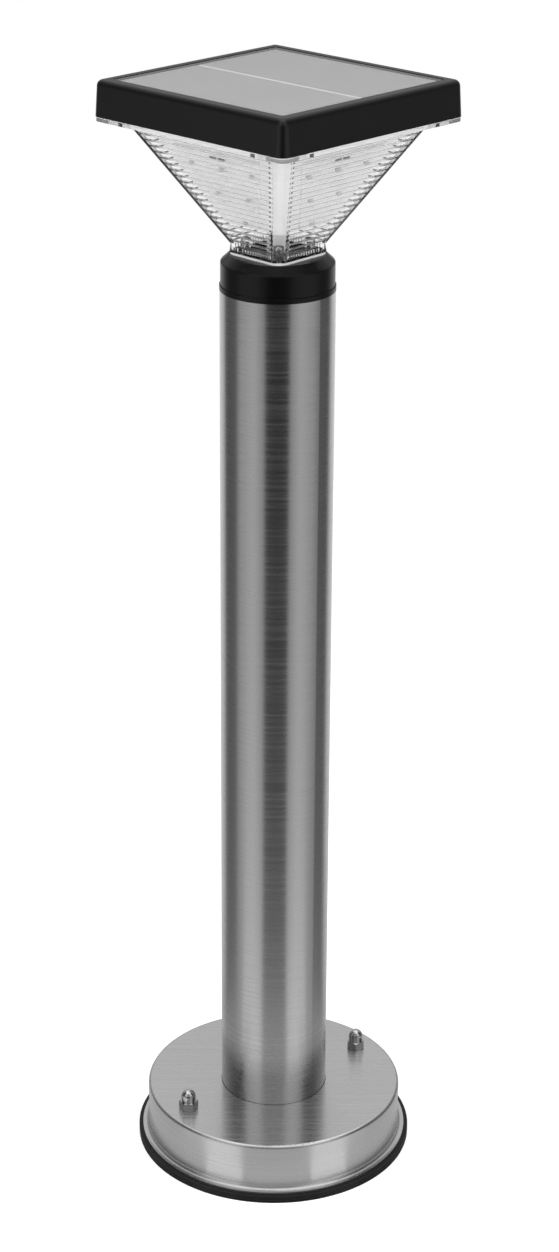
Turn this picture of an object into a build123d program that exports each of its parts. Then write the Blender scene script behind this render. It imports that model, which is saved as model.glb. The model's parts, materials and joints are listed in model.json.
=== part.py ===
from build123d import *
import math
import os

os.makedirs("parts", exist_ok=True)

# Solar bollard light, in millimetres. The post's axis is Z, the gasket's underside is at height 0,
# and the sides of the square head lie along X and Y.

# Base: rubber gasket, drawn cover and post
gasket_radius = 99.2
gasket_width = 14.7
gasket_height = 5.6
gasket_groove_count = 3
gasket_groove_depth = 0.5
gasket_groove_width = 0.6
cover_rim_inset = 2.9
cover_rim_width = 4.5
cover_top = 42.1
cover_sheet = 1.2
cover_rim_fillet = 2.8
cover_edge_radius = 2.2
post_radius = 38.0
post_wall = 1.5
post_length = 599.6
post_hole_gap = 0.3
post_tail = 3.0
weld_size = 2.8

# Mounting bracket, studs and nuts
bracket_thickness = 3.0
bracket_width = 50.0
bracket_end_margin = 9.0
anchor_hole_radius = 4.25
anchor_pcd = 95.0
stud_radius = 4.0
stud_inset = 17.6
stud_line_angle = 78.0
stud_hole_gap = 0.6
stud_grip = 10.0
thread_gap = 0.05
lock_nut_width = 13.0
lock_nut_height = 4.0
cap_nut_width = 12.0
cap_nut_hex_height = 6.5
cap_nut_dome_radius = 5.15
cap_nut_height = 15.0
cap_nut_turns = (-4.0, 26.0)
nut_chamfer = 0.9

# Collar: the part above the post, and the spigot inside it
collar_shoulder_step = 0.2
collar_shoulder_height = 3.3
collar_inset = 0.5
collar_height = 23.5
collar_chamfer_height = 5.2
collar_top_inset = 6.1
collar_top_wall = 4.0
collar_shoulder_edge = 0.4
collar_chamfer_edge = 1.5
collar_top_edge = 0.8
spigot_length = 45.0
spigot_wall = 5.0
spigot_gap = 0.3
ring_section = 2.7
ring_bore_gap = 0.08
ring_groove_gap = 0.05
ring_side_gap = 0.25
ring_depths = (12.0, 30.0)
cable_hole_radius = 5.0

# End cap of the spigot and the push switch in it
cap_thickness = 3.0
cap_seat = 2.9
cap_gap = 0.1
cap_boss_radius = 4.0
cap_boss_height = 12.0
cap_boss_merge = 0.4
switch_barrel_radius = 6.0
switch_barrel_length = 15.0
switch_flange_radius = 8.0
switch_flange_height = 1.5
switch_nut_width = 14.0
switch_nut_height = 2.5
switch_lip = 1.2
switch_wall = 1.0
switch_chamber_height = 6.6
button_radius = 4.0
button_flange_height = 1.5
button_reach = 3.0
button_edge_radius = 0.8
button_side_gap = 0.2
button_seat_gap = 0.1
terminal_height = 4.0
terminal_half_thickness = 0.4
terminal_half_width = 1.2

# Small screws
screw_radius = 1.4
screw_head_radius = 2.8
screw_head_height = 1.9
countersink_radius = 2.2
screw_head_edge = 0.75
screw_hole_gap = 0.3
screw_bite = 8.0
hole_spare = 0.5
boss_root = 0.5

# Lens: a funnel with a cut-cornered square section
lens_foot_inset = 7.7
lens_foot_corner = 8.0
lens_foot_height = 1.8
lens_neck_height = 6.4
lens_neck_step = 0.8
lens_low_cut = 5.9
lens_high_cut = 9.0
lens_rise = 78.2
lens_wall = 2.4
lens_floor = 2.5
lens_flange_inset = 0.7
lens_flange_width = 11.0
lens_flange_height = 3.1
lens_flange_corner = 4.5
rib_pitch = 3.88
rib_height = 1.8
rib_depth = 0.7
rib_end_margin = 2.6
rib_root = 0.4
tooth_pitch = 2.35
tooth_gap = 1.0
tooth_depth = 0.7
tooth_height = 4.0
neck_screw_inset = 10.1
neck_boss_radius = 3.4
neck_boss_height = 8.3
neck_seal_radius = 9.2
neck_seal_width = 2.4
neck_seal_height = 1.6
flange_screw_corner_distance = 22.0
flange_screw_inset = 5.5
flange_screw_length = 10.0

# Head housing
housing_half = 83.9
housing_height = 23.3
housing_corner = 4.5
housing_draft = 3.6
housing_wall = 2.5
housing_edge_radius = 2.0
panel_recess = 3.9
ledge_width = 9.6
ledge_thickness = 2.5
flange_boss_radius = 3.4
flange_boss_height = 12.0
plate_boss_radius = 4.0
lens_seal_width = 1.2
lens_seal_height = 1.0
lens_seal_inset = 0.7

# Solar panel
panel_inset = 10.3
panel_gap = 0.7
panel_corner = 1.2
panel_seal_height = 0.5
panel_seal_width = 6.0
backing_thickness = 1.6
cell_thickness = 0.3
cell_margin = 2.6
ribbon_width = 2.0
panel_cover_thickness = 1.1

# White carrier with its boards
carrier_foot_half = 24.4
carrier_foot_height = 19.3
carrier_top_gap = 7.3
carrier_wall = 1.8
carrier_cut = 3.0
carrier_flange_rest = 0.8
carrier_flange_thickness = 1.5
carrier_flange_corner = 6.0
carrier_stem_radius = 6.5
carrier_stem_wall = 2.0
board_thickness = 1.2
board_low_half = 8.5
board_high_half = 38.0
board_bottom = 1.5
board_top = 62.0
led_first_row = 5.6
led_row_pitch = 22.5
led_column_pitch = 26.5
led_rows = 3
led_length = 3.5
led_width = 2.8
led_height = 0.8
resistor_length = 1.6
resistor_width = 0.8
resistor_height = 0.5
resistor_side_step = 3.6
resistor_down_step = 2.4
connector_place = 58.2
connector_length = 5.4
connector_width = 1.2
connector_height = 0.8
connector_step = 3.7

# Inner plate, battery and control board
inner_plate_thickness = 2.0
plate_screw_inset = 6.0
cell_radius = 9.15
cell_length = 65.0
cell_side_gap = 0.4
contact_thickness = 0.6
contact_gap = 0.2
contact_margin = 2.0
tray_wall = 1.5
tray_flange = 4.0
tray_flange_thickness = 1.5
tray_gap = 0.3
tray_spare = 1.7
control_board_length = 44.0
control_board_width = 24.0
control_board_thickness = 1.6
control_board_gap = 5.0
standoff_height = 2.0
standoff_radius = 2.5
standoff_inset = 3.5
socket_length = 6.0
socket_width = 4.5
socket_height = 5.0
chip_length = 5.0
chip_width = 4.0
chip_height = 1.2
coil_side = 6.0
coil_height = 3.5
lead_radius = 0.65
lead_gap = 2.4
lead_bend = 4.0
lead_tray_distance = 15.0
lead_slot_gap = 4.8
lead_slot_radius = 3.5
panel_lead_place = 16.0

# Sizes that follow from those above
gasket_inner_radius = gasket_radius - gasket_width
cover_rim_radius = gasket_radius - cover_rim_inset
cover_wall_radius = cover_rim_radius - cover_rim_width
stud_circle_radius = cover_wall_radius - stud_inset
stud_hole_radius = stud_radius + stud_hole_gap
post_bore_radius = post_radius - post_wall
spigot_radius = post_bore_radius - spigot_gap
collar_bore_radius = spigot_radius - spigot_wall
collar_shoulder_radius = post_radius + collar_shoulder_step
collar_radius = post_radius - collar_inset
collar_top_radius = post_radius - collar_top_inset
cap_screw_circle = collar_bore_radius + cap_boss_merge - cap_boss_radius
switch_chamber_radius = switch_barrel_radius - switch_wall
button_flange_radius = switch_chamber_radius - button_side_gap
lens_foot_half = collar_top_radius - lens_foot_inset
lens_low_half = lens_foot_half + lens_neck_step
lens_flange_half = housing_half - lens_flange_inset
lens_high_half = lens_flange_half - lens_flange_width
lens_slope = (lens_high_half - lens_low_half) / lens_rise
neck_screw_place = lens_foot_half - neck_screw_inset
panel_half = housing_half - panel_inset
ledge_half = panel_half - ledge_width
carrier_flange_half = lens_high_half + carrier_flange_rest
plate_screw_place = carrier_flange_half - plate_screw_inset
tray_half_length = cell_length / 2 + contact_thickness + 2 * contact_gap
tray_half_width = 2 * cell_radius + cell_side_gap
tray_depth = 2 * cell_radius + tray_spare
lead_slot_place = tray_half_width + tray_wall + tray_flange + lead_slot_gap
control_board_place = lead_slot_place + control_board_gap + control_board_width / 2

# Heights that follow from the sizes above
post_top = cover_top + post_length
post_bottom = cover_top - cover_sheet - post_tail
spigot_bottom = post_top - spigot_length
collar_top = post_top + collar_height
lens_floor_top = collar_top + lens_floor
neck_bottom = collar_top + lens_foot_height
neck_top = neck_bottom + lens_neck_height
flange_bottom = neck_top + lens_rise
housing_bottom = flange_bottom + lens_flange_height
housing_top = housing_bottom + housing_height
ledge_top = housing_top - panel_recess
cap_top = spigot_bottom + cap_thickness
stud_top = cover_top + stud_grip
carrier_foot = lens_floor_top + carrier_foot_height
plate_bottom = housing_bottom + carrier_flange_thickness
plate_top = plate_bottom + inner_plate_thickness
control_board_bottom = plate_top + standoff_height
control_board_top = control_board_bottom + control_board_thickness
tray_floor_top = plate_top + tray_wall - tray_depth
backing_bottom = ledge_top + panel_seal_height
cells_bottom = backing_bottom + backing_thickness
panel_cover_bottom = cells_bottom + cell_thickness

# The carrier's slope follows from its foot and from its gap to the lens at the top
carrier_top_half = lens_high_half - lens_wall - carrier_top_gap
carrier_slope = (carrier_top_half - carrier_foot_half) / (housing_bottom - carrier_foot)
carrier_angle = math.atan(carrier_slope)

# Directions
on_floor = (Align.CENTER, Align.CENTER, Align.MIN)
quarter_turns = (0, 90, 180, 270)
corners = ((1, 1), (-1, 1), (-1, -1), (1, -1))


def disc(radius, low, high):
    """A round solid on the axis, from one height to another."""
    return Pos(0, 0, low) * Cylinder(radius, high - low, align=on_floor)


def ring(outer, inner, low, high):
    """A tube on the axis, from one height to another."""
    return disc(outer, low, high) - disc(inner, low, high)


def block(half_x, half_y, low, high):
    """A plain box on the axis, from one height to another."""
    return Pos(0, 0, low) * Box(2 * half_x, 2 * half_y, high - low, align=on_floor)


def rounded_block(half, corner, low, high):
    """A square block with rounded upright edges."""
    return Pos(0, 0, low) * extrude(RectangleRounded(2 * half, 2 * half, corner), high - low)


def turned(points, rounding=()):
    """A solid turned round the axis. Points are (radius, height); rounding lists (point, radius)."""
    outline = make_face(Polyline(*points, close=True))
    for place, radius in rounding:
        corner = outline.vertices().sort_by_distance(points[place])[0]
        outline = fillet(corner, radius)
    return revolve(Plane.XZ * outline, Axis.Z)


def cut_square(half, cut, height):
    """A square section with its corners cut off at 45 degrees."""
    near = half - cut
    points = []
    for sx, sy in corners:
        pair = [(sx * half, sy * near), (sx * near, sy * half)]
        points += pair if sx * sy > 0 else pair[::-1]
    return Plane.XY.offset(height) * make_face(Polyline(*points, close=True))


def funnel(low_half, low_cut, low, high_half, high_cut, high):
    """A solid that widens upward between two cut-cornered squares."""
    return loft([cut_square(low_half, low_cut, low), cut_square(high_half, high_cut, high)])


def copies(piece, places):
    """The same piece at each place, as separate solids."""
    return Compound([place * piece for place in places])


def square_places(half):
    """The four corner places of a square round the axis."""
    return [Pos(sx * half, sy * half, 0) for sx, sy in corners]


def stud_places():
    """The two places on the stud circle, across the post from each other."""
    return [Rot(0, 0, stud_line_angle + turn) * Pos(stud_circle_radius, 0, 0) for turn in (0, 180)]


def cap_screw_places():
    """Three places round the spigot's end cap."""
    return [Rot(0, 0, turn) * Pos(cap_screw_circle, 0, 0) for turn in (30, 150, 270)]


def flange_screw_places():
    """Two places on each side of the lens flange, near its corners."""
    along = lens_flange_half - flange_screw_corner_distance
    inset = lens_flange_half - flange_screw_inset
    return [Rot(0, 0, turn) * Pos(side * along, -inset, 0) for turn in quarter_turns for side in (-1, 1)]


def hex_body(width, height):
    """A hexagon bar with its corners turned down at both ends."""
    bar = extrude(RegularPolygon(width / 2, 6, major_radius=False), height)
    corner = width / math.sqrt(3)
    flat = width / 2
    outline = [(0, 0), (flat, 0), (corner, nut_chamfer), (corner, height - nut_chamfer)]
    return bar & turned(outline + [(flat, height), (0, height)])


def screw(length):
    """A screw with a low round head, its seat at height 0 and its shank upward."""
    head = Cylinder(screw_head_radius, screw_head_height, align=(Align.CENTER, Align.CENTER, Align.MAX))
    head = fillet(head.edges().group_by(Axis.Z)[0], screw_head_edge)
    return head + Cylinder(screw_radius, length, align=on_floor)


def make_base_gasket():
    """Rubber ring under the rim, with fine grooves round its outer side."""
    body = ring(gasket_radius, gasket_inner_radius, 0, gasket_height)
    step = gasket_height / (gasket_groove_count + 1)
    for number in range(1, gasket_groove_count + 1):
        low = number * step - gasket_groove_width / 2
        floor = gasket_radius - gasket_groove_depth
        body -= ring(gasket_radius, floor, low, low + gasket_groove_width)
    return body


def make_base_cover():
    """Drawn cup: flat top, straight wall and a rim turned out over the gasket."""
    rim_top = gasket_height + cover_sheet
    outside = turned(
        [
            (0, gasket_height),
            (cover_rim_radius, gasket_height),
            (cover_rim_radius, rim_top),
            (cover_wall_radius, rim_top),
            (cover_wall_radius, cover_top),
            (0, cover_top),
        ],
        [(3, cover_rim_fillet), (4, cover_edge_radius)],
    )
    inner_radius = cover_wall_radius - cover_sheet
    flare = cover_rim_fillet + cover_sheet
    below = gasket_height - flare
    inside = turned(
        [
            (0, below),
            (inner_radius + 2 * flare, below),
            (inner_radius + 2 * flare, gasket_height),
            (inner_radius, gasket_height),
            (inner_radius, cover_top - cover_sheet),
            (0, cover_top - cover_sheet),
        ],
        [(3, flare), (4, cover_edge_radius - cover_sheet)],
    )
    cup = outside - inside - disc(post_radius + post_hole_gap, gasket_height, cover_top)
    for place in stud_places():
        cup -= place * disc(stud_hole_radius, gasket_height, cover_top)
    return cup


def make_post_tube():
    """Round tube that goes through the cover's top and stands up from it."""
    return ring(post_radius, post_bore_radius, post_bottom, post_top)


def make_post_weld():
    """Fillet weld between the tube's tail and the underside of the cover's top."""
    inner = post_radius + thread_gap
    top = cover_top - cover_sheet
    return turned([(inner, top - weld_size), (inner, top), (inner + weld_size, top)])


def make_mounting_bracket():
    """Flat bar on the ground with two stud holes and two anchor holes."""
    length = 2 * (stud_circle_radius + bracket_end_margin)
    bar = Rot(0, 0, stud_line_angle) * extrude(SlotOverall(length, bracket_width), bracket_thickness)
    for place in stud_places():
        bar -= place * disc(stud_radius + thread_gap, 0, bracket_thickness)
    for side in (-1, 1):
        spot = Rot(0, 0, stud_line_angle) * Pos(side * anchor_pcd / 2, 0, 0)
        bar -= spot * disc(anchor_hole_radius, 0, bracket_thickness)
    return bar


def make_anchor_studs():
    """Studs from the bracket's underside up into the cap nuts."""
    return copies(disc(stud_radius, 0, stud_top), stud_places())


def make_stud_nuts():
    """Thin nuts that lock the studs to the bracket."""
    nut = hex_body(lock_nut_width, lock_nut_height)
    nut -= disc(stud_radius + thread_gap, 0, lock_nut_height)
    return copies(Pos(0, 0, bracket_thickness) * nut, stud_places())


def make_cap_nuts():
    """Domed nuts on the cover's top, each stopped at its own angle."""
    dome_base = cap_nut_height - cap_nut_dome_radius
    nut = hex_body(cap_nut_width, cap_nut_hex_height)
    nut += disc(cap_nut_dome_radius, 0, dome_base) + Pos(0, 0, dome_base) * Sphere(cap_nut_dome_radius)
    nut &= disc(cap_nut_width, 0, cap_nut_height)
    nut -= disc(stud_radius + thread_gap, 0, stud_grip + hole_spare)
    seated = [Rot(0, 0, turn) * nut for turn in cap_nut_turns]
    lifted = [place * Pos(0, 0, cover_top) * nut for place, nut in zip(stud_places(), seated)]
    return Compound(lifted)


def ring_groove_bottom():
    """Radius of the grooves' floor, which the sealing rings go round."""
    return post_bore_radius - ring_bore_gap - ring_section - ring_groove_gap


def make_collar():
    """Moulded collar: shoulder and chamfer above the post, spigot with two ring grooves inside it."""
    shoulder_top = post_top + collar_shoulder_height
    chamfer_start = collar_top - collar_chamfer_height
    body = turned(
        [
            (0, spigot_bottom),
            (spigot_radius, spigot_bottom),
            (spigot_radius, post_top),
            (collar_shoulder_radius, post_top),
            (collar_shoulder_radius, shoulder_top),
            (collar_radius, shoulder_top),
            (collar_radius, chamfer_start),
            (collar_top_radius, collar_top),
            (0, collar_top),
        ],
        [(4, collar_shoulder_edge), (6, collar_chamfer_edge), (7, collar_top_edge)],
    )
    body -= disc(collar_bore_radius, spigot_bottom, collar_top - collar_top_wall)
    body -= disc(cap_recess_radius(), spigot_bottom, cap_top)
    boss = disc(cap_boss_radius, cap_top, cap_top + cap_boss_height)
    for place in cap_screw_places():
        body += place * boss
        body -= place * disc(screw_radius + thread_gap, cap_top, cap_top + screw_bite + hole_spare)
    half_groove = ring_section / 2 + ring_side_gap
    for depth in ring_depths:
        middle = post_top - depth
        body -= ring(post_radius, ring_groove_bottom(), middle - half_groove, middle + half_groove)
    body -= disc(cable_hole_radius, cap_top, collar_top)
    seal_inner = neck_seal_radius - neck_seal_width / 2
    body -= ring(seal_inner + neck_seal_width, seal_inner, collar_top - neck_seal_height, collar_top)
    for place in square_places(neck_screw_place):
        body -= place * disc(screw_radius + screw_hole_gap, collar_top - collar_top_wall, collar_top)
    return body


def cap_recess_radius():
    """Radius of the recess that the end cap sits in."""
    return collar_bore_radius + cap_seat


def make_spigot_rings():
    """Two sealing rings in the spigot's grooves."""
    centre = post_bore_radius - ring_bore_gap - ring_section / 2
    rings = [Pos(0, 0, post_top - depth) * Torus(centre, ring_section / 2) for depth in ring_depths]
    return Compound(rings)


def make_spigot_cap():
    """Disc that closes the spigot's lower end and holds the switch."""
    cap = disc(cap_recess_radius() - cap_gap, spigot_bottom, cap_top)
    cap -= disc(switch_barrel_radius + cap_gap, spigot_bottom, cap_top)
    for place in cap_screw_places():
        cap -= place * disc(screw_radius + screw_hole_gap, spigot_bottom, cap_top)
    return cap


def make_cap_screws():
    """Screws through the end cap into the collar's bosses."""
    return copies(Pos(0, 0, spigot_bottom) * screw(cap_thickness + screw_bite), cap_screw_places())


def make_switch_body():
    """Round push switch: flange under the cap, barrel through it and two terminals on top."""
    low = spigot_bottom - switch_flange_height
    top = spigot_bottom + switch_barrel_length
    body = disc(switch_flange_radius, low, spigot_bottom) + disc(switch_barrel_radius, low, top)
    body -= disc(button_radius + button_side_gap, low, low + switch_lip)
    body -= disc(switch_chamber_radius, low + switch_lip, low + switch_lip + switch_chamber_height)
    for side in (-1, 1):
        terminal = block(terminal_half_thickness, terminal_half_width, top, top + terminal_height)
        body += Pos(side * lead_gap, 0, 0) * terminal
    return body


def make_switch_nut():
    """Nut that clamps the switch to the end cap."""
    nut = Pos(0, 0, cap_top) * hex_body(switch_nut_width, switch_nut_height)
    return nut - disc(switch_barrel_radius + thread_gap, cap_top, cap_top + switch_nut_height)


def make_switch_button():
    """Button that is pushed up into the switch, kept in by its own flange."""
    flange_low = spigot_bottom - switch_flange_height + switch_lip + button_seat_gap
    stem = disc(button_radius, spigot_bottom - switch_flange_height - button_reach, flange_low)
    stem = fillet(stem.edges().group_by(Axis.Z)[0], button_edge_radius)
    return stem + disc(button_flange_radius, flange_low, flange_low + button_flange_height)


def make_neck_seal():
    """Sealing ring between the collar's top and the lens foot."""
    inner = neck_seal_radius - neck_seal_width / 2
    outer = inner + neck_seal_width
    return ring(outer - thread_gap, inner + thread_gap, collar_top - neck_seal_height, collar_top)


def make_neck_screws():
    """Screws from inside the collar up into the lens bosses."""
    seat = collar_top - collar_top_wall
    length = collar_top_wall + screw_bite
    return copies(Pos(0, 0, seat) * screw(length), square_places(neck_screw_place))


def lens_outer_half(height):
    """Half the width of the lens funnel outside, at a height."""
    return lens_low_half + lens_slope * (height - neck_top)


def lens_rib(height):
    """One rounded rib on the inner side of the face towards -Y."""
    middle = height + rib_height / 2
    top = height + rib_height
    inner = [lens_outer_half(z) - lens_wall for z in (height, middle, top)]
    cut_share = (middle - neck_top) / lens_rise
    cut = lens_low_cut + cut_share * (lens_high_cut - lens_low_cut)
    half_length = lens_outer_half(middle) - cut - rib_end_margin
    foot = [
        (-inner[0], height),
        (-inner[0] - rib_root, height),
        (-inner[2] - rib_root, top),
        (-inner[2], top),
    ]
    crown = ThreePointArc(foot[-1], (-inner[1] + rib_depth, middle), foot[0])
    return extrude(Plane.YZ * make_face(Polyline(*foot) + crown), half_length, both=True)


def make_lens():
    """Clear funnel: foot, toothed neck, ribbed faces, cut corners and a top flange for the housing."""
    body = Pos(0, 0, collar_top) * extrude(
        RectangleRounded(2 * lens_foot_half, 2 * lens_foot_half, lens_foot_corner), lens_foot_height
    )
    body += extrude(cut_square(lens_low_half, lens_low_cut, neck_bottom), lens_neck_height)
    body += funnel(lens_low_half, lens_low_cut, neck_top, lens_high_half, lens_high_cut, flange_bottom)
    body += rounded_block(lens_flange_half, lens_flange_corner, flange_bottom, housing_bottom)
    low_inner = lens_low_half - lens_wall
    high_inner = lens_high_half - lens_wall
    hollow = extrude(cut_square(low_inner, lens_low_cut, lens_floor_top), neck_top - lens_floor_top)
    hollow += funnel(low_inner, lens_low_cut, neck_top, high_inner, lens_high_cut, flange_bottom)
    hollow += extrude(cut_square(high_inner, lens_high_cut, flange_bottom), lens_flange_height)
    body -= hollow
    rib_count = int((lens_rise - rib_height) / rib_pitch)
    ribs = [lens_rib(neck_top + number * rib_pitch + rib_pitch / 2) for number in range(rib_count)]
    body += [Rot(0, 0, turn) * rib for turn in quarter_turns for rib in ribs]
    body -= neck_grooves()
    boss = disc(neck_boss_radius, lens_floor_top - boss_root, lens_floor_top + neck_boss_height)
    body += [place * boss for place in square_places(neck_screw_place)]
    bite = disc(screw_radius + thread_gap, collar_top, collar_top + screw_bite + hole_spare)
    body -= [place * bite for place in square_places(neck_screw_place)]
    body -= disc(cable_hole_radius, collar_top, lens_floor_top)
    body -= [place * flange_screw_hole() for place in flange_screw_places()]
    return body


def neck_grooves():
    """Upright grooves that leave a row of teeth along each side of the neck."""
    straight = lens_low_half - lens_low_cut - tooth_gap
    side_count = int(straight / tooth_pitch)
    middle = neck_bottom + tooth_height / 2
    groove = Box(tooth_gap, 2 * tooth_depth, tooth_height)
    row = [
        Pos(number * tooth_pitch, -lens_low_half, middle) * groove
        for number in range(-side_count, side_count + 1)
    ]
    return [Rot(0, 0, turn) * tooth for turn in quarter_turns for tooth in row]


def countersink(seat, gap):
    """Cone of a countersunk head, flush with the face at the given height."""
    depth = countersink_radius - screw_radius
    return Pos(0, 0, seat) * Cone(countersink_radius + gap, screw_radius + gap, depth, align=on_floor)


def flange_screw_hole():
    """Countersunk hole right through the lens flange."""
    hole = disc(screw_radius + thread_gap, flange_bottom, housing_bottom)
    return hole + countersink(flange_bottom, thread_gap)


def make_flange_screws():
    """Countersunk screws up through the lens flange into the housing."""
    one = disc(screw_radius, flange_bottom, flange_bottom + flange_screw_length)
    one += countersink(flange_bottom, 0)
    return copies(one, flange_screw_places())


def make_lens_seal():
    """Square cord between the lens flange and the housing's lower edge."""
    top = housing_bottom + lens_seal_height
    outer = housing_half - lens_seal_inset
    corner = housing_corner - lens_seal_inset
    body = rounded_block(outer, corner, housing_bottom, top)
    return body - rounded_block(outer - lens_seal_width, corner - lens_seal_width, housing_bottom, top)


def make_housing():
    """Moulded square frame: drafted sides, rounded edges, panel recess, ledge and screw bosses."""
    outline = RectangleRounded(2 * housing_half, 2 * housing_half, housing_corner)
    body = Pos(0, 0, housing_bottom) * extrude(outline, housing_height, taper=housing_draft)
    body = fillet(body.edges().group_by(Axis.Z)[-1], housing_edge_radius)
    inner_half = housing_half - housing_wall
    inner_corner = housing_corner - housing_wall
    inner_height = housing_height - panel_recess - ledge_thickness
    inside = extrude(
        RectangleRounded(2 * inner_half, 2 * inner_half, inner_corner), inner_height, taper=housing_draft
    )
    body -= Pos(0, 0, housing_bottom) * inside
    body -= rounded_block(panel_half + panel_gap, panel_corner + panel_gap, ledge_top, housing_top)
    body -= block(ledge_half, ledge_half, ledge_top - ledge_thickness, ledge_top)
    ledge_bottom = ledge_top - ledge_thickness
    body += [place * plate_boss(ledge_bottom) for place in square_places(plate_screw_place)]
    body += [place * flange_boss() for place in flange_screw_places()]
    body -= make_lens_seal()
    bite = disc(screw_radius + thread_gap, plate_top, plate_top + screw_bite + hole_spare)
    body -= [place * bite for place in square_places(plate_screw_place)]
    hole = disc(screw_radius + thread_gap, housing_bottom, flange_bottom + flange_screw_length + hole_spare)
    body -= [place * hole for place in flange_screw_places()]
    return body


def plate_boss(ledge_bottom):
    """Post that comes down from the ledge to the inner plate."""
    return disc(plate_boss_radius, plate_top, ledge_bottom + boss_root)


def flange_boss():
    """Post inside the housing's wall, over a flange screw."""
    return disc(flange_boss_radius, housing_bottom, housing_bottom + flange_boss_height)


def carrier_half(height):
    """Half the width of the white carrier outside, at a height."""
    return carrier_foot_half + carrier_slope * (height - carrier_foot)


def make_led_carrier():
    """White funnel that carries the boards, with a flange above and a cable stem below."""
    top_half = carrier_half(housing_bottom)
    body = funnel(carrier_foot_half, carrier_cut, carrier_foot, top_half, carrier_cut, housing_bottom)
    body += rounded_block(carrier_flange_half, carrier_flange_corner, housing_bottom, plate_bottom)
    floor = carrier_foot + carrier_wall
    low_half = carrier_half(floor) - carrier_wall
    high_half = carrier_half(plate_bottom) - carrier_wall
    body -= funnel(low_half, carrier_cut, floor, high_half, carrier_cut, plate_bottom)
    body += disc(carrier_stem_radius, lens_floor_top, carrier_foot)
    body -= disc(carrier_stem_radius - carrier_stem_wall, lens_floor_top, floor)
    hole = disc(screw_radius + screw_hole_gap, housing_bottom, plate_bottom)
    hole += countersink(housing_bottom, thread_gap)
    body -= [place * hole for place in square_places(plate_screw_place)]
    return body


def carrier_face():
    """Plane on the carrier's face towards -Y: x across, y up the slope from its foot, z outward."""
    outward = (0, -math.cos(carrier_angle), -math.sin(carrier_angle))
    return Plane(origin=(0, -carrier_foot_half, carrier_foot), x_dir=(1, 0, 0), z_dir=outward)


def on_faces(pieces):
    """Pieces made on the face plane, repeated on all four faces as separate solids."""
    placed = [carrier_face() * piece for piece in pieces]
    return Compound([Rot(0, 0, turn) * piece for turn in quarter_turns for piece in placed])


def make_led_board(turn):
    """Board on one face, wider towards the top like the face."""
    outline = [
        (-board_low_half, board_bottom),
        (board_low_half, board_bottom),
        (board_high_half, board_top),
        (-board_high_half, board_top),
    ]
    board = extrude(make_face(Polyline(*outline, close=True)), board_thickness)
    return Rot(0, 0, turn) * (carrier_face() * board)


def led_spots():
    """Chip places on a face: one in the lowest row, and one more in each row above."""
    spots = []
    for row in range(led_rows):
        for column in range(row + 1):
            spots.append(((column - row / 2) * led_column_pitch, led_first_row + row * led_row_pitch))
    return spots


def make_led_chips():
    """Light chips in three rows on each board."""
    chip = Box(led_length, led_width, led_height, align=on_floor)
    return on_faces([Pos(x, y, board_thickness) * chip for x, y in led_spots()])


def make_led_resistors():
    """A resistor beside each chip."""
    resistor = Box(resistor_length, resistor_width, resistor_height, align=on_floor)
    return on_faces(
        [
            Pos(x + resistor_side_step, y - resistor_down_step, board_thickness) * resistor
            for x, y in led_spots()
        ]
    )


def make_board_connectors():
    """Two-part connector at the top of each board."""
    part = Box(connector_length, connector_width, connector_height, align=on_floor)
    places = [Pos(side * connector_step, connector_place, board_thickness) for side in (-1, 1)]
    return on_faces([place * part for place in places])


def make_inner_plate():
    """Plate over the carrier that holds the battery tray and the control board."""
    plate = rounded_block(carrier_flange_half, carrier_flange_corner, plate_bottom, plate_top)
    hole_x = tray_half_length + tray_wall + tray_gap
    hole_y = tray_half_width + tray_wall + tray_gap
    plate -= block(hole_x, hole_y, plate_bottom, plate_top)
    plate += [place * disc(standoff_radius, plate_top, control_board_bottom) for place in standoff_places()]
    plate -= Pos(0, lead_slot_place, 0) * disc(lead_slot_radius, plate_bottom, plate_top)
    hole = disc(screw_radius + screw_hole_gap, plate_bottom, plate_top)
    plate -= [place * hole for place in square_places(plate_screw_place)]
    return plate


def standoff_places():
    """Places of the four posts under the control board."""
    x = control_board_length / 2 - standoff_inset
    y = control_board_width / 2 - standoff_inset
    return [Pos(sx * x, control_board_place + sy * y, 0) for sx, sy in corners]


def make_plate_screws():
    """Countersunk screws up through carrier flange and inner plate into the housing's posts."""
    one = disc(screw_radius, housing_bottom, plate_top + screw_bite)
    one += countersink(housing_bottom, 0)
    return copies(one, square_places(plate_screw_place))


def make_battery_tray():
    """Open tray that hangs by its flange in the inner plate."""
    half_x = tray_half_length + tray_wall
    half_y = tray_half_width + tray_wall
    body = block(half_x, half_y, tray_floor_top - tray_wall, plate_top + tray_flange_thickness)
    body += block(half_x + tray_flange, half_y + tray_flange, plate_top, plate_top + tray_flange_thickness)
    top = plate_top + tray_flange_thickness
    return body - block(tray_half_length, tray_half_width, tray_floor_top, top)


def cell_spots():
    """Places of the two cells' axes across the tray."""
    return [side * (cell_radius + cell_side_gap / 2) for side in (-1, 1)]


def make_battery_cells():
    """Two round cells side by side on the tray's floor."""
    cell = Rot(0, 90, 0) * Cylinder(cell_radius, cell_length)
    cells = [Pos(0, y, tray_floor_top + cell_radius) * cell for y in cell_spots()]
    return Compound(cells)


def make_battery_contacts():
    """Contact plates at both ends of each cell."""
    x = tray_half_length - contact_gap / 2 - contact_thickness / 2
    height = 2 * cell_radius - 2 * contact_margin
    plate = Box(contact_thickness, cell_radius, height, align=on_floor)
    plates = [Pos(side * x, y, tray_floor_top) * plate for side in (-1, 1) for y in cell_spots()]
    return Compound(plates)


def make_control_board():
    """Charging and switching board on its four posts."""
    return Pos(0, control_board_place, 0) * block(
        control_board_length / 2, control_board_width / 2, control_board_bottom, control_board_top
    )


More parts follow.
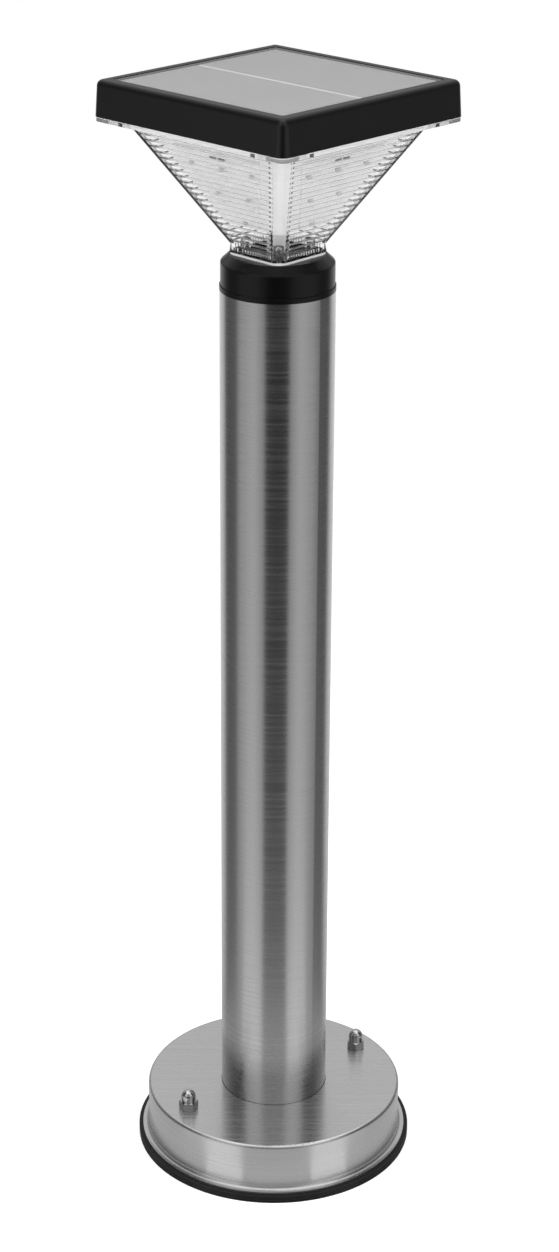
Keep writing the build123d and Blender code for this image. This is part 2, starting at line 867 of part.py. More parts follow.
def make_board_parts():
    """Sockets, chip and coil on the control board."""
    socket = Box(socket_length, socket_width, socket_height, align=on_floor)
    chip = Box(chip_length, chip_width, chip_height, align=on_floor)
    coil = Box(coil_side, coil_side, coil_height, align=on_floor)
    front = control_board_place - control_board_width / 2 + socket_width / 2
    sockets = [Pos(x, front, control_board_top) * socket for x in (0, panel_lead_place)]
    others = [
        Pos(-chip_length, control_board_place, control_board_top) * chip,
        Pos(-panel_lead_place, control_board_place, control_board_top) * coil,
    ]
    return Compound(sockets + others)


def lead(points):
    """One insulated wire along a bent route."""
    route = FilletPolyline(*points, radius=lead_bend)
    start = Plane(origin=route @ 0, z_dir=route % 0)
    return sweep(start * Circle(lead_radius), path=route)


def make_switch_leads():
    """Two wires from the switch up the stem, past the tray and into a socket of the control board."""
    start = spigot_bottom + switch_barrel_length + terminal_height
    socket_face = control_board_place - control_board_width / 2
    socket_middle = control_board_top + socket_height / 2
    past_tray = tray_floor_top - tray_wall - lead_tray_distance
    wires = []
    for side in (-1, 1):
        x = side * lead_gap
        points = [
            (x, 0, start),
            (x, 0, past_tray - lead_slot_place),
            (x, lead_slot_place, past_tray),
            (x, lead_slot_place, socket_middle),
            (x, socket_face, socket_middle),
        ]
        wires.append(lead(points))
    return Compound(wires)


def make_panel_leads():
    """Two wires from the panel's backing down to the control board."""
    top = control_board_top + socket_height
    front = control_board_place - control_board_width / 2 + socket_width / 2
    wires = []
    for side in (-1, 1):
        x = panel_lead_place + side * lead_gap / 2
        wires.append(Pos(x, front, 0) * disc(lead_radius, top, backing_bottom))
    return Compound(wires)


def make_panel_seal():
    """Foam frame between the ledge and the panel's backing."""
    body = rounded_block(panel_half, panel_corner, ledge_top, backing_bottom)
    inner = panel_half - panel_seal_width
    return body - block(inner, inner, ledge_top, backing_bottom)


def make_panel_backing():
    """Rigid sheet under the cells."""
    return rounded_block(panel_half, panel_corner, backing_bottom, cells_bottom)


def make_solar_cells():
    """Two half-panel cells, with room for the ribbon between them."""
    half_x = panel_half - cell_margin
    near = ribbon_width / 2 + thread_gap
    depth = panel_half - cell_margin - near
    cell = Box(2 * half_x, depth, cell_thickness, align=on_floor)
    cells = [Pos(0, side * (near + depth / 2), cells_bottom) * cell for side in (-1, 1)]
    return Compound(cells)


def make_bus_ribbon():
    """Pale metal strip along the middle of the panel."""
    return block(panel_half - cell_margin, ribbon_width / 2, cells_bottom, panel_cover_bottom)


def make_panel_cover():
    """Clear sheet over the cells, a little below the housing's rim."""
    top = panel_cover_bottom + panel_cover_thickness
    return rounded_block(panel_half, panel_corner, panel_cover_bottom, top)


nodes = {
    "base_gasket": make_base_gasket,
    "base_cover": make_base_cover,
    "mounting_bracket": make_mounting_bracket,
    "anchor_studs": make_anchor_studs,
    "stud_nuts": make_stud_nuts,
    "cap_nuts": make_cap_nuts,
    "post_tube": make_post_tube,
    "post_weld": make_post_weld,
    "spigot_rings": make_spigot_rings,
    "collar": make_collar,
    "spigot_cap": make_spigot_cap,
    "cap_screws": make_cap_screws,
    "switch_body": make_switch_body,
    "switch_nut": make_switch_nut,
    "switch_button": make_switch_button,
    "neck_seal": make_neck_seal,
    "neck_screws": make_neck_screws,
    "lens": make_lens,
    "lens_seal": make_lens_seal,
    "flange_screws": make_flange_screws,
    "led_carrier": make_led_carrier,
    "led_board_front": lambda: make_led_board(0),
    "led_board_right": lambda: make_led_board(90),
    "led_board_back": lambda: make_led_board(180),
    "led_board_left": lambda: make_led_board(270),
    "led_chips": make_led_chips,
    "led_resistors": make_led_resistors,
    "board_connectors": make_board_connectors,
    "inner_plate": make_inner_plate,
    "plate_screws": make_plate_screws,
    "battery_tray": make_battery_tray,
    "battery_cells": make_battery_cells,
    "battery_contacts": make_battery_contacts,
    "control_board": make_control_board,
    "board_parts": make_board_parts,
    "switch_leads": make_switch_leads,
    "panel_leads": make_panel_leads,
    "housing": make_housing,
    "panel_seal": make_panel_seal,
    "panel_backing": make_panel_backing,
    "solar_cells": make_solar_cells,
    "bus_ribbon": make_bus_ribbon,
    "panel_cover": make_panel_cover,
}

for name, make in nodes.items():
    export_step(make(), f"parts/{name}.step")
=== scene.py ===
"""Looks of the solar bollard light, in metres and in the same frame as the CAD."""

import json
import math

import bpy
from mathutils import Matrix, Vector


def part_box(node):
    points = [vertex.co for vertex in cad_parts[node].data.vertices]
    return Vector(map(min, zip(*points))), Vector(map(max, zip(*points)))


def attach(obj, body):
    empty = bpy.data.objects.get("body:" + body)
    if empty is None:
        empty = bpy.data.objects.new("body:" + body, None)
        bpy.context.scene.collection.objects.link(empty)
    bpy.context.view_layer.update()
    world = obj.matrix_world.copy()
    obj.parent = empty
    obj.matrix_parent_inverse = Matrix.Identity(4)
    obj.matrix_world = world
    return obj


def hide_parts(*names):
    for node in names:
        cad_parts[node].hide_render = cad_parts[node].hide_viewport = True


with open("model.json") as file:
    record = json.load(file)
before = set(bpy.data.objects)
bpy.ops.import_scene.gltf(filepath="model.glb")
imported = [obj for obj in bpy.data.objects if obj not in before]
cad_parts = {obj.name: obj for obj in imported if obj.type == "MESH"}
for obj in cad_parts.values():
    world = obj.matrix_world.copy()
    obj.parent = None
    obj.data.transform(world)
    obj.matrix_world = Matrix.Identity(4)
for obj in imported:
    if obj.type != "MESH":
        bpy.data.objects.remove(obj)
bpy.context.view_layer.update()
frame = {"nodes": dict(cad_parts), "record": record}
nodes = frame["nodes"]

# Camera: it looks at the front corner of the square head, from above. Angles are in degrees
camera_azimuth = 43.6845
camera_distance = 1.73012
camera_height = 1.13867
camera_pitch = 23.0443
camera_yaw = -0.0802
camera_roll = 0.3323
camera_lens = 78.91
sensor_width = 36.0

# Light on matt surfaces: in the open, and inside the lens
sky_light = 0.62
inner_light = 1.9

# Studio round the post, which only metal and gloss mirror. Tones are (direction, tone), where a
# direction is in degrees round the post, 0 towards the camera and 180 behind the object.
# Starts and ends are elevations in degrees, between which one zone gives way to the next
studio_tones = (
    (0, 0.01),
    (20, 0.02),
    (30, 0.38),
    (48, 0.56),
    (78, 0.50),
    (94, 0.14),
    (122, 0.10),
    (138, 0.66),
    (160, 0.84),
    (180, 0.90),
)
gap_start = -2.0
gap_end = 3.0
gap_tone = 0.15
upper_start = 10.0
upper_end = 15.0
upper_tones = (
    (0, 0.36),
    (20, 0.36),
    (32, 0.85),
    (58, 0.85),
    (72, 0.08),
    (95, 0.06),
    (125, 0.40),
    (150, 0.68),
    (180, 0.68),
)
ceiling_start = 52.0
ceiling_end = 68.0
ceiling_tone = 1.5

# What shows through the lens: white below these elevations in degrees and dark above them
through_start = -12.0
through_end = -9.0
through_tone = 0.01

# Floor, and the pools of light on it, which only metal and gloss mirror. Near the base a ring
# gives its wall two bright panels, which widen outwards. Shares are (distance from the post, share)
floor_radius = 1.4
floor_sides = 128
floor_color = 0.80
floor_glow = 0.45
near_tones = (
    (0, 0.66),
    (17.0, 0.66),
    (18.4, 1.02),
    (37.2, 1.02),
    (38.7, 0.64),
    (90, 0.60),
    (180, 0.60),
)
near_start = 0.165
near_end = 0.195
near_middle = 2.0
near_spread = 6.3
wall_radius = 0.105
pool_tones = (
    (0, 0.54),
    (20, 0.54),
    (32, 1.05),
    (62, 1.05),
    (74, 0.42),
    (120, 0.36),
    (150, 0.50),
    (180, 0.50),
)
pool_shares = ((0.16, 1.0), (0.25, 0.46), (0.45, 0.20), (0.90, 0.08), (1.35, 0.0))

# Lamps
lamp_direction = 58.0
lamp_distance = 1.3
lamp_height = 1.25
lamp_size = 0.9
lamp_shape = 1.3
lamp_power = 14.0
lamp_aim = 0.4

# Brushed stainless: noise scales per metre, along the grain and across it, and the scale of the
# streaks as a share of the fine grain's
wall_grain = 45
top_grain = 35
cross_grain = 2400
streak_scale = 0.22
streak_share = 0.7
steel_cloud = 14.0
steel_anisotropy = 0.85

# Other finishes: noise scales per metre, then how high a moulded skin and the steel's grain stand
plastic_skin = 900.0
plastic_cloud = 30.0
flow_scale = 60.0
scuff_scale = 220.0
sheet_skin = 1400.0
skin_height = 0.00003
grain_height = 0.0001

# Lens: heights over its foot, half widths, painted shade on its rib ends and flange, and its frost
neck_top = 0.0082
flange_bottom = 0.0864
inner_low_half = 0.0226
inner_high_half = 0.0698
# Painted shade at the ends of the inner ribs: where it goes, and how dark it is
rib_end_low = 0.0165
rib_end_high = 0.0606
rib_end_width = 0.0016
rib_end_slack = 0.0001
rib_end_shade_tone = 0.04
flange_frost = 0.4
foot_top = 0.0017
foot_frost = 0.7
# Painted shade on the flange's edge band: darker towards its corners
mark_top = 0.0887
flange_corner = 0.0690
flange_corner_shade_tone = 0.38
# Painted shade: dark marks on the flange's face where the screws show through it
screw_place = 0.0580
screw_width = 0.0019
screw_shade_tone = 0.10

# Housing: the solid's measures, then the rounder ones of the shell. Draft is in degrees
solid_half = 0.0839
solid_height = 0.0233
solid_corner = 0.0045
solid_draft = 3.6
solid_edge = 0.0020
round_corner = 0.0060
round_edge = 0.0042
skin_slack = 0.00005
edge_depth_slack = 0.00002
edge_width_slack = 0.00004

# The strip between the solar cells stands this much over the solid
strip_rise = 0.0002


def grey(tone):
    """A neutral colour."""
    return (tone, tone, tone)


def opaque(tone):
    """A neutral colour with its alpha, as a node takes it."""
    return (*grey(tone), 1)


def add_math(tree, operation, *values):
    """A math node on values that are numbers or other nodes' outputs."""
    node = tree.nodes.new("ShaderNodeMath")
    node.operation = operation
    for place, value in enumerate(values):
        if isinstance(value, (int, float)):
            node.inputs[place].default_value = value
        else:
            tree.links.new(value, node.inputs[place])
    return node.outputs[0]


def add_ramp(tree, value, stops):
    """A grey ramp over a value from 0 to 1. Stops are (place, tone)."""
    ramp = tree.nodes.new("ShaderNodeValToRGB")
    ramp.color_ramp.interpolation = "EASE"
    marks = ramp.color_ramp.elements
    while len(marks) < len(stops):
        marks.new(1.0)
    for mark, (place, tone) in zip(marks, stops):
        mark.position = place
        mark.color = opaque(tone)
    tree.links.new(value, ramp.inputs["Fac"])
    return ramp.outputs["Color"]


def half_turn_share(tree, vector, middle=0.0):
    """How far a direction is from the camera's side, round the post: 0 towards it and 1 behind."""
    turned = tree.nodes.new("ShaderNodeVectorRotate")
    turned.rotation_type = "Z_AXIS"
    turned.inputs["Angle"].default_value = math.radians(-camera_azimuth - middle)
    parts = tree.nodes.new("ShaderNodeSeparateXYZ")
    tree.links.new(vector, turned.inputs["Vector"])
    tree.links.new(turned.outputs["Vector"], parts.inputs["Vector"])
    towards = add_math(tree, "MULTIPLY", parts.outputs["Y"], -1.0)
    angle = add_math(tree, "ARCTAN2", parts.outputs["X"], towards)
    return add_math(tree, "DIVIDE", add_math(tree, "ABSOLUTE", angle), math.pi)


def zone_color(tree, share, tones):
    """Tones round the post, blended from one direction to the next."""
    return add_ramp(tree, share, [(turn / 180, tone) for turn, tone in tones])


def share_above(tree, height, start, end):
    """0 below one elevation in degrees and 1 above another, for a unit direction's height."""
    share = tree.nodes.new("ShaderNodeMapRange")
    share.interpolation_type = "SMOOTHSTEP"
    share.inputs["From Min"].default_value = math.sin(math.radians(start))
    share.inputs["From Max"].default_value = math.sin(math.radians(end))
    tree.links.new(height, share.inputs["Value"])
    return share.outputs["Result"]


def add_background(tree, color, strength=1.0):
    """A world background. Colour and strength are values or other nodes' outputs."""
    node = tree.nodes.new("ShaderNodeBackground")
    for name, value in (("Color", color), ("Strength", strength)):
        if isinstance(value, bpy.types.NodeSocket):
            tree.links.new(value, node.inputs[name])
        else:
            node.inputs[name].default_value = value
    return node.outputs[0]


def mix_shaders(tree, share, first, second):
    """The first shader where the share is 0, and the second where it is 1."""
    node = tree.nodes.new("ShaderNodeMixShader")
    tree.links.new(share, node.inputs["Fac"])
    tree.links.new(first, node.inputs[1])
    tree.links.new(second, node.inputs[2])
    return node.outputs[0]


class Finish:
    """A node material that is built step by step.

    The sockets of a Mix node have the same names for every type, so they go by number here.
    """

    def __init__(self, name):
        self.material = bpy.data.materials.new(name)
        self.material.use_nodes = True
        self.tree = self.material.node_tree
        self.shader = self.tree.nodes["Principled BSDF"]

    def add(self, kind, **settings):
        """A new node, with its settings and unlinked input values."""
        node = self.tree.nodes.new(kind)
        for key, value in settings.items():
            if key in node.inputs:
                node.inputs[key].default_value = value
            else:
                setattr(node, key, value)
        return node

    def link(self, source, target):
        self.tree.links.new(source, target)

    def set(self, name, value):
        """Sets one of the shader's own values."""
        self.shader.inputs[name].default_value = value

    def mapped(self, vector, **settings):
        """A vector that is turned or stretched."""
        mapping = self.add("ShaderNodeMapping", **settings)
        self.link(vector, mapping.inputs["Vector"])
        return mapping.outputs["Vector"]

    def place(self):
        """Object coordinates."""
        return self.add("ShaderNodeTexCoord").outputs["Object"]

    def noise(self, vector, scale, detail=3.0, roughness=0.55):
        """A noise pattern's value."""
        texture = self.add("ShaderNodeTexNoise", Scale=scale, Detail=detail, Roughness=roughness)
        self.link(vector, texture.inputs["Vector"])
        return texture.outputs["Fac"]

    def part(self, vector, axis):
        """One component of a vector."""
        parts = self.add("ShaderNodeSeparateXYZ")
        self.link(vector, parts.inputs["Vector"])
        return parts.outputs[axis]

    def mix_vector(self, share, first, second):
        """The first vector where the share is 0, and the second where it is 1."""
        node = self.add("ShaderNodeMix", data_type="VECTOR")
        self.link(share, node.inputs["Factor"])
        self.link(first, node.inputs[4])
        self.link(second, node.inputs[5])
        return node.outputs[1]

    def mix_color(self, share, first, second):
        """The first colour where the share is 0, and the second where it is 1."""
        node = self.add("ShaderNodeMix", data_type="RGBA")
        self.link(share, node.inputs[0])
        for place, color in ((6, first), (7, second)):
            if isinstance(color, bpy.types.NodeSocket):
                self.link(color, node.inputs[place])
            else:
                node.inputs[place].default_value = color
        return node.outputs[2]

    def spread(self, value, low, high, start=0.3, end=0.7):
        """The value's range from start to end, moved to low to high."""
        node = self.add("ShaderNodeMapRange")
        node.inputs["From Min"].default_value = start
        node.inputs["From Max"].default_value = end
        node.inputs["To Min"].default_value = low
        node.inputs["To Max"].default_value = high
        self.link(value, node.inputs["Value"])
        return node.outputs["Result"]

    def tint(self, value, base, dark, light=1.0):
        """The base colour, from dark to light times itself, by a value from 0 to 1."""
        ends = [(*[part * level for part in base], 1) for level in (dark, light)]
        return self.mix_color(value, *ends)

    def color(self, color):
        """Sets the shader's colour."""
        self.link(color, self.shader.inputs["Base Color"])

    def vary_roughness(self, value, roughness, change):
        """Sets the shader's roughness, which a noise moves up and down by a share of itself."""
        varied = self.spread(value, roughness * (1 - change), roughness * (1 + change))
        self.link(varied, self.shader.inputs["Roughness"])

    def bump(self, value, strength, distance):
        """Raises the surface by a value."""
        node = self.add("ShaderNodeBump", Strength=strength, Distance=distance)
        self.link(value, node.inputs["Height"])
        self.link(node.outputs["Normal"], self.shader.inputs["Normal"])


def satin_steel(name, base, roughness):
    """Brushed stainless: the grain runs round upright walls and straight across level tops."""
    finish = Finish(name)
    tree = finish.tree
    coordinates = finish.add("ShaderNodeTexCoord")
    place = coordinates.outputs["Object"]
    level = add_math(tree, "ABSOLUTE", finish.part(coordinates.outputs["Normal"], "Z"))
    on_wall = finish.mapped(place, Scale=(wall_grain, wall_grain, cross_grain))
    turned = finish.mapped(place, Rotation=(0, 0, math.radians(-camera_azimuth)))
    on_top = finish.mapped(turned, Scale=(top_grain, cross_grain, 1))
    grain = finish.mix_vector(level, on_wall, on_top)
    fine = finish.noise(grain, 1.0, detail=4.0, roughness=0.6)
    streaks = finish.noise(grain, streak_scale, detail=3.0, roughness=0.5)
    cloud = finish.noise(place, steel_cloud)
    streak_part = add_math(tree, "MULTIPLY", streaks, streak_share)
    cloud_part = add_math(tree, "MULTIPLY", cloud, 1 - streak_share)
    tone = add_math(tree, "ADD", streak_part, cloud_part)
    finish.color(finish.tint(tone, base, dark=0.94, light=1.04))
    finish.vary_roughness(streaks, roughness, change=0.15)
    finish.bump(fine, strength=0.06, distance=grain_height)
    finish.set("Metallic", 1.0)
    finish.set("Anisotropic", steel_anisotropy)
    turn = math.radians(camera_azimuth)
    upright = finish.add("ShaderNodeCombineXYZ", Z=1.0).outputs[0]
    across = finish.add("ShaderNodeCombineXYZ", X=-math.sin(turn), Y=math.cos(turn)).outputs[0]
    finish.link(finish.mix_vector(level, upright, across), finish.shader.inputs["Tangent"])
    return finish.material


def moulded(name, base, roughness, specular=0.5):
    """Moulded plastic or rubber with a fine skin."""
    finish = Finish(name)
    skin = finish.noise(finish.place(), plastic_skin)
    cloud = finish.noise(finish.place(), plastic_cloud)
    finish.color(finish.tint(cloud, base, dark=0.85))
    finish.vary_roughness(cloud, roughness, change=0.08)
    finish.set("Specular IOR Level", specular)
    finish.bump(skin, strength=0.25, distance=skin_height)
    return finish.material


def clear_plastic(name, base, roughness, ior):
    """Clear moulded plastic with faint flow marks, a frosted flange and foot, and painted shade at
    the rib ends, flange corners and screws.
    """
    finish = Finish(name)
    tree = finish.tree
    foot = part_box("lens")[0][2]
    place = finish.place()
    height = add_math(tree, "SUBTRACT", finish.part(place, "Z"), foot)
    sides = [add_math(tree, "ABSOLUTE", finish.part(place, axis)) for axis in ("X", "Y")]
    outward = add_math(tree, "MAXIMUM", *sides)
    along = add_math(tree, "MINIMUM", *sides)

    in_flange = add_math(tree, "GREATER_THAN", height, flange_bottom)
    in_foot = add_math(tree, "LESS_THAN", height, foot_top)
    flange_part = add_math(tree, "MULTIPLY", in_flange, flange_frost)
    foot_part = add_math(tree, "MULTIPLY", in_foot, foot_frost)
    frosted = add_math(tree, "ADD", flange_part, foot_part)
    clear = add_math(tree, "SUBTRACT", 1.0, frosted)
    finish.link(clear, finish.shader.inputs["Transmission Weight"])

    edge = add_math(tree, "MULTIPLY", in_flange, add_math(tree, "LESS_THAN", height, mark_top))
    at_corner = add_math(tree, "GREATER_THAN", along, flange_corner)
    at_screw = add_math(tree, "COMPARE", along, screw_place, screw_width)
    # Painted shade: dark at the rib ends, darker at the flange corners, and dark marks where the
    # screws show through the flange
    marks = (
        (rib_end_shade_share(finish, outward, along, height), rib_end_shade_tone),
        (add_math(tree, "MULTIPLY", edge, at_corner), flange_corner_shade_tone),
        (add_math(tree, "MULTIPLY", edge, at_screw), screw_shade_tone),
    )
    color = finish.tint(finish.noise(finish.place(), flow_scale), base, dark=0.985)
    for share, tone in marks:
        color = finish.mix_color(share, color, opaque(tone))
    finish.color(color)
    finish.set("IOR", ior)
    finish.set("Roughness", roughness)
    return finish.material


def rib_end_shade_share(finish, outward, along, height):
    """Where painted shade goes: 1 at the ends of the lens's inner ribs and 0 elsewhere."""
    tree = finish.tree
    wall = finish.spread(height, inner_low_half, inner_high_half, neck_top, flange_bottom)
    end = finish.spread(height, rib_end_low, rib_end_high, neck_top, flange_bottom)
    inward = add_math(tree, "SUBTRACT", wall, outward)
    inside = add_math(tree, "GREATER_THAN", inward, rib_end_slack)
    stop = add_math(tree, "ADD", end, rib_end_slack)
    start = add_math(tree, "SUBTRACT", end, rib_end_width)
    before_stop = add_math(tree, "LESS_THAN", along, stop)
    past_start = add_math(tree, "GREATER_THAN", along, start)
    return add_math(tree, "MULTIPLY", add_math(tree, "MULTIPLY", before_stop, past_start), inside)


def bare_metal(name, base, roughness):
    """Plain metal with light scuffs."""
    finish = Finish(name)
    scuff = finish.noise(finish.place(), scuff_scale, detail=5.0)
    finish.color(finish.tint(scuff, base, dark=0.9))
    finish.vary_roughness(scuff, roughness, change=0.3)
    finish.set("Metallic", 1.0)
    return finish.material


def clear_sheet(name, base, roughness, cover):
    """Thin clear sheet whose satin face hides part of what is under it."""
    finish = Finish(name)
    skin = finish.noise(finish.place(), sheet_skin)
    finish.color(finish.tint(skin, base, dark=0.97))
    finish.vary_roughness(skin, roughness, change=0.1)
    finish.set("Alpha", cover)
    finish.bump(skin, strength=0.15, distance=skin_height)
    return finish.material


# One finish for each material slot of the record, and one for the collar
finishes = {
    "black_rubber": moulded("gasket_rubber", grey(0.006), 0.7),
    "seal_rubber": moulded("seal_rubber", grey(0.012), 0.55),
    "brushed_stainless": satin_steel("brushed_stainless", grey(0.58), 0.27),
    "weld_steel": bare_metal("weld_steel", (0.4, 0.38, 0.36), 0.5),
    "zinc_steel": bare_metal("zinc_steel", grey(0.6), 0.38),
    "screw_steel": bare_metal("screw_steel", grey(0.6), 0.25),
    "bright_steel": bare_metal("bright_steel", grey(0.56), 0.03),
    "black_plastic": moulded("black_plastic", grey(0.0035), 0.3),
    "collar_plastic": moulded("collar_plastic", grey(0.0025), 0.3, specular=0.3),
    "switch_plastic": moulded("switch_plastic", grey(0.03), 0.4),
    "button_rubber": moulded("button_rubber", grey(0.08), 0.55),
    "clear_plastic": clear_plastic("lens_plastic", grey(1.0), 0.0, 1.49),
    "white_plastic": moulded("white_plastic", grey(0.93), 0.45),
    "board_white": moulded("board_white", grey(0.93), 0.4),
    "board_green": moulded("board_green", (0.03, 0.16, 0.07), 0.4),
    "led_phosphor": moulded("led_phosphor", (0.50, 0.50, 0.47), 0.3),
    "dark_component": moulded("dark_component", grey(0.05), 0.4),
    "cell_wrap": moulded("cell_wrap", (0.16, 0.2, 0.34), 0.3),
    "lead_insulation": moulded("lead_insulation", (0.35, 0.03, 0.03), 0.4),
    "solar_silicon": moulded("solar_silicon", grey(0.42), 0.5),
    "bus_metal": moulded("bus_metal", grey(0.72), 0.3),
    "panel_clear": clear_sheet("panel_clear", grey(0.85), 0.3, 0.12),
}


def dress_nodes():
    """Gives each CAD node the finish of its slot, and the collar its own."""
    for part in frame["record"]["subparts"]:
        slot = "collar_plastic" if part["node"] == "collar" else part["material_slot"]
        materials = nodes[part["node"]].data.materials
        for place in nodes[part["node"]].material_slots:
            place.material = finishes[slot]
        if not materials:
            materials.append(finishes[slot])


def add_object(name, data):
    """A new object in the scene."""
    new = bpy.data.objects.new(name, data)
    bpy.context.scene.collection.objects.link(new)
    return new


def add_piece(name, mesh, node, slot):
    """A piece of the head that stands for one CAD node."""
    mesh.materials.clear()
    mesh.materials.append(finishes[slot])
    piece = add_object(name, mesh)
    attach(piece, "head")
    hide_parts(node)


def add_housing():
    """The housing, with its outer corners and its upper edge rounder than in the solid."""
    mesh = nodes["housing"].data.copy()
    normals = [corner.vector.copy() for corner in mesh.corner_normals]
    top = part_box("housing")[1][2]
    for vertex in mesh.vertices:
        vertex.co = rounder_place(vertex.co, top)
    mesh.normals_split_custom_set(normals)
    add_piece("housing_shell", mesh, "housing", "black_plastic")


def rounder_place(place, top):
    """Where a point of the housing's solid goes. Points inside the outer skin stay."""
    depth = top - place.z
    slant = math.tan(math.radians(solid_draft))
    center = solid_half - solid_corner
    beyond = Vector([max(abs(value) - center, 0.0) for value in place.xy])
    corner = solid_corner - (solid_height - depth) * slant
    outward = beyond.length - corner
    edge_depth = solid_edge * (1 - math.sin(math.radians(solid_draft)))
    high_enough = depth < edge_depth + edge_depth_slack
    on_edge = high_enough and outward > -edge_depth - edge_width_slack
    if not on_edge and abs(outward) > skin_slack:
        return place
    if on_edge:
        outward *= round_edge / solid_edge
        depth *= round_edge / solid_edge
    corner = round_corner - (solid_height - depth) * slant
    beyond = beyond.normalized() * (corner + outward)
    center = solid_half - round_corner
    sides = [
        math.copysign(min(abs(value), center) + extra, value)
        for value, extra in zip(place.xy, beyond)
    ]
    return Vector((*sides, top - depth))


def add_strip():
    """The pale strip between the solar cells, standing a little proud of them."""
    low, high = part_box("bus_ribbon")
    corners = [
        (x, y, z)
        for x in (low[0], high[0])
        for y in (low[1], high[1])
        for z in (low[2], high[2] + strip_rise)
    ]
    faces = (
        (0, 1, 3, 2),
        (4, 6, 7, 5),
        (0, 4, 5, 1),
        (2, 3, 7, 6),
        (0, 2, 6, 4),
        (1, 5, 7, 3),
    )
    mesh = bpy.data.meshes.new("panel_strip")
    mesh.from_pydata(corners, [], faces)
    add_piece("panel_strip", mesh, "bus_ribbon", "bus_metal")


def add_camera():
    """Camera at the photograph's viewing angle."""
    data = bpy.data.cameras.new("camera")
    data.lens = camera_lens
    data.sensor_width = sensor_width
    data.sensor_fit = "AUTO"
    camera = add_object("camera", data)
    round_post = Matrix.Rotation(math.radians(camera_azimuth), 4, "Z")
    place = round_post @ Vector((0, -camera_distance, camera_height))
    turn = Matrix.Rotation(math.radians(camera_azimuth + camera_yaw), 4, "Z")
    tilt = Matrix.Rotation(math.radians(90 - camera_pitch), 4, "X")
    lean = Matrix.Rotation(math.radians(camera_roll), 4, "Z")
    camera.matrix_world = Matrix.Translation(place) @ turn @ tilt @ lean
    bpy.context.scene.camera = camera


def studio_shader(tree, direction, height):
    """Upright zones round the post, a dark gap between low and high ones, and a ceiling."""
    turn = half_turn_share(tree, direction)
    lower = add_background(tree, zone_color(tree, turn, studio_tones))
    upper = add_background(tree, zone_color(tree, turn, upper_tones))
    gap = add_background(tree, opaque(1), gap_tone)
    ceiling = add_background(tree, opaque(1), ceiling_tone)
    walls = mix_shaders(tree, share_above(tree, height, gap_start, gap_end), lower, gap)
    walls = mix_shaders(tree, share_above(tree, height, upper_start, upper_end), walls, upper)
    above = share_above(tree, height, ceiling_start, ceiling_end)
    return mix_shaders(tree, above, walls, ceiling)


def add_world():
    """Even soft light, a white background, and a studio that only metal and gloss mirror."""
    world = bpy.data.worlds.new("studio")
    bpy.context.scene.world = world
    world.use_nodes = True
    tree = world.node_tree
    tree.nodes.clear()
    rays = tree.nodes.new("ShaderNodeLightPath").outputs
    direction = tree.nodes.new("ShaderNodeTexCoord").outputs["Generated"]
    parts = tree.nodes.new("ShaderNodeSeparateXYZ")
    tree.links.new(direction, parts.inputs["Vector"])
    height = parts.outputs["Z"]

    white = add_background(tree, opaque(1))
    dark = add_background(tree, opaque(through_tone))
    dark_share = share_above(tree, height, through_start, through_end)
    behind_lens = mix_shaders(tree, dark_share, white, dark)
    studio = studio_shader(tree, direction, height)
    studio = mix_shaders(tree, rays["Is Transmission Ray"], studio, behind_lens)

    extra = add_math(tree, "MULTIPLY", rays["Is Transmission Ray"], inner_light - sky_light)
    plain = add_background(tree, opaque(1), add_math(tree, "ADD", extra, sky_light))
    after_matt = add_math(tree, "GREATER_THAN", rays["Diffuse Depth"], 0.5)
    unseen = mix_shaders(tree, after_matt, studio, plain)
    shown = mix_shaders(tree, rays["Is Camera Ray"], unseen, white)
    out = tree.nodes.new("ShaderNodeOutputWorld")
    tree.links.new(shown, out.inputs["Surface"])


def pool_color(finish, place, distance):
    """The tones on the floor: the ring near the base, and the wide pools past it."""
    tree = finish.tree
    far = zone_color(tree, half_turn_share(tree, place), pool_tones)
    reach = add_math(tree, "SUBTRACT", distance, wall_radius)
    widening = add_math(tree, "ADD", add_math(tree, "MULTIPLY", reach, near_spread), 1.0)
    near_turn = half_turn_share(tree, place, near_middle)
    near = zone_color(tree, add_math(tree, "DIVIDE", near_turn, widening), near_tones)
    return finish.mix_color(finish.spread(distance, 0, 1, near_start, near_end), near, far)


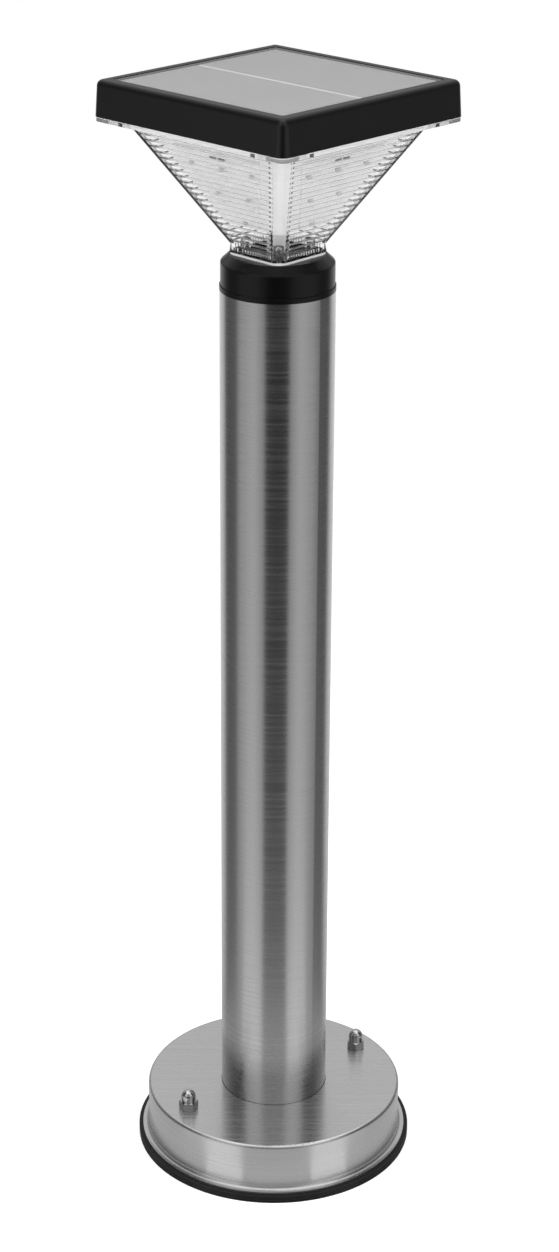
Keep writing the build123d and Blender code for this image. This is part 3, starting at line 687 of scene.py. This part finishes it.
def floor_material():
    """Pale matt floor. Metal and gloss see the pools, which fade into the studio behind them."""
    finish = Finish("floor")
    tree = finish.tree
    tree.nodes.remove(finish.shader)
    out = next(node for node in tree.nodes if node.type == "OUTPUT_MATERIAL")
    matt = finish.add("ShaderNodeBsdfDiffuse", Color=opaque(floor_color)).outputs[0]
    glow = finish.add("ShaderNodeEmission", Strength=floor_glow).outputs[0]
    both = finish.add("ShaderNodeAddShader")
    finish.link(matt, both.inputs[0])
    finish.link(glow, both.inputs[1])

    place = finish.place()
    length = finish.add("ShaderNodeVectorMath", operation="LENGTH")
    finish.link(place, length.inputs[0])
    distance = length.outputs["Value"]
    shares = [(where / floor_radius, share) for where, share in pool_shares]
    pool_share = add_ramp(tree, add_math(tree, "DIVIDE", distance, floor_radius), shares)
    pools = finish.add("ShaderNodeEmission")
    finish.link(pool_color(finish, place, distance), pools.inputs["Color"])
    clear = finish.add("ShaderNodeBsdfTransparent").outputs[0]
    mirrored = mix_shaders(tree, pool_share, clear, pools.outputs[0])

    rays = finish.add("ShaderNodeLightPath").outputs
    direct = add_math(tree, "MAXIMUM", rays["Is Camera Ray"], rays["Is Transmission Ray"])
    seen = mix_shaders(tree, direct, matt, both.outputs[0])
    finish.link(mix_shaders(tree, rays["Is Glossy Ray"], seen, mirrored), out.inputs["Surface"])
    return finish.material


def add_floor():
    """Round pale floor."""
    turns = [2 * math.pi * number / floor_sides for number in range(floor_sides)]
    rim = [(floor_radius * math.cos(turn), floor_radius * math.sin(turn), 0) for turn in turns]
    mesh = bpy.data.meshes.new("floor")
    mesh.from_pydata(rim, [], [tuple(range(floor_sides))])
    mesh.materials.append(floor_material())
    add_object("floor", mesh)


def add_lamps():
    """Two large soft lamps, one to each side of the camera."""
    for number, side in enumerate((-1, 1)):
        data = bpy.data.lights.new(f"softbox_{number}", "AREA")
        data.shape = "RECTANGLE"
        data.size = lamp_size
        data.size_y = lamp_size * lamp_shape
        data.energy = lamp_power
        lamp = add_object(f"softbox_{number}", data)
        lamp.visible_glossy = False
        lamp.visible_transmission = False
        turn = math.radians(camera_azimuth + side * lamp_direction)
        place = Vector((math.sin(turn), -math.cos(turn), 0)) * lamp_distance
        place.z = lamp_height
        aim = (Vector((0, 0, lamp_aim)) - place).to_track_quat("-Z", "Y")
        lamp.matrix_world = Matrix.Translation(place) @ aim.to_matrix().to_4x4()


dress_nodes()
add_housing()
add_strip()
add_camera()
add_world()
add_floor()
add_lamps()
bpy.context.scene.view_settings.view_transform = "Standard"
